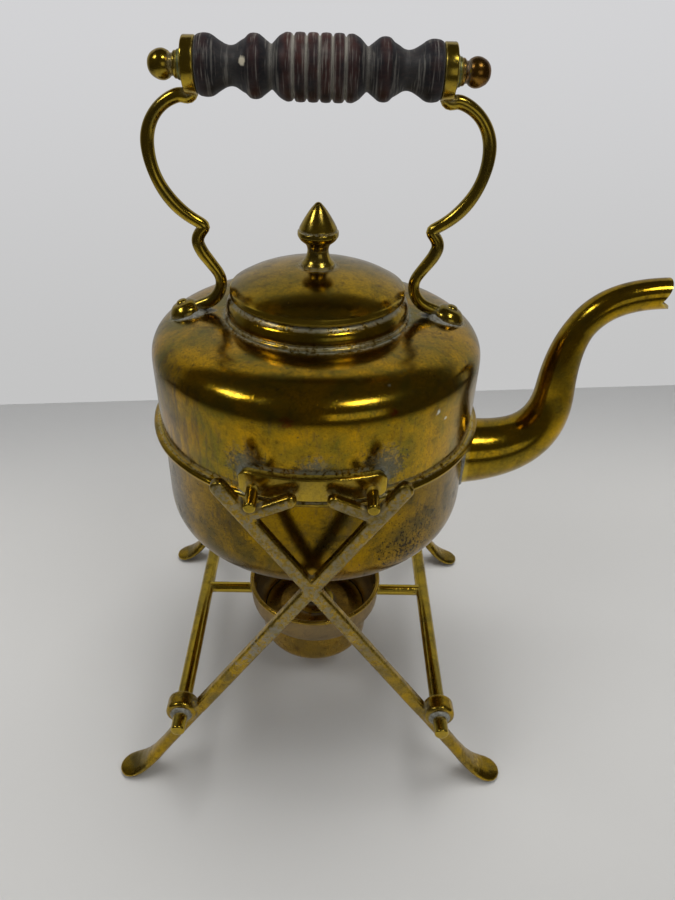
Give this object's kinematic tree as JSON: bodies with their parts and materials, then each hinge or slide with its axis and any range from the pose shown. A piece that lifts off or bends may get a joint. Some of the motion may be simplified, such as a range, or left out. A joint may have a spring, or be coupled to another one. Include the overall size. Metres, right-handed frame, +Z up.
{
  "type": "spirit kettle on stand",
  "caption": "Squat kettle with a swan-neck spout, lift-off lid and turned wooden grip, hung by its pins in the notches of a crossed-leg stand over a spirit lamp in a round cup.",
  "frame": {"origin": "on the table, at the bottom centre of the bounding box, half way from the left feet to the spout's mouth; the kettle's axis stands at x = -29.6 mm", "axes": "+Z up; +X towards the spout, so the kettle pours over its +X pins; -Y is the front, where the first cross frame stands"},
  "size_m": [0.2612, 0.195, 0.3384],
  "materials": {
    "sheet_brass": "spun sheet brass, once polished, with an olive tarnish",
    "cast_brass": "cast brass, worn and tarnished",
    "rod_brass": "drawn brass rod, tarnished olive",
    "cup_brass": "spun sheet brass, browned by heat",
    "solder": "soft solder, dull grey",
    "turned_wood": "turned hardwood, dark red-brown, worn varnish",
    "cotton_wick": "plaited cotton"
  },
  "bodies": {
    "stand": {"front_frame": "cast_brass", "back_frame": "cast_brass", "tie_rod_left": "rod_brass", "tie_rod_right": "rod_brass", "peg_rings": "solder", "cup_struts": "rod_brass", "burner_cup": "cup_brass"},
    "lamp": {"lamp_reservoir": "cup_brass", "lamp_burner": "sheet_brass", "lamp_wick": "cotton_wick"},
    "pour_pins": {"pour_pins": "rod_brass"},
    "kettle": {"upper_body": "sheet_brass", "lower_body": "sheet_brass", "seam_bead": "sheet_brass", "lid_collar": "sheet_brass", "spout": "sheet_brass", "spout_collar": "solder", "front_bracket": "cast_brass", "back_bracket": "cast_brass", "rest_pins": "rod_brass", "handle_arm_left": "cast_brass", "handle_arm_right": "cast_brass", "handle_rivets": "rod_brass", "handle_rod": "rod_brass", "rod_washers": "rod_brass", "finial_left": "cast_brass", "finial_right": "cast_brass"},
    "grip": {"wooden_grip": "turned_wood"},
    "lid": {"lid_dome": "sheet_brass", "lid_flange": "sheet_brass", "lid_knob": "cast_brass"}
  },
  "joints": [
    {"name": "lamp_lift", "type": "slide", "parent": "stand", "child": "lamp", "axis": [0, 0, 1], "range_m": [0, 0.04]},
    {"name": "kettle_lift", "type": "slide", "parent": "stand", "child": "pour_pins", "axis": [0, 0, 1], "range_m": [0, 0.08]},
    {"name": "kettle_pour", "type": "hinge", "parent": "pour_pins", "child": "kettle", "pos_m": [-0.00518, 0, 0.18185], "axis": [0, 1, 0], "range_deg": [0, 50]},
    {"name": "lid_lift", "type": "slide", "parent": "kettle", "child": "lid", "axis": [0, 0, 1], "range_m": [0, 0.034]},
    {"name": "grip_spin", "type": "hinge", "parent": "kettle", "child": "grip", "pos_m": [-0.02964, 0, 0.32645], "axis": [1, 0, 0], "continuous": true}
  ]
}
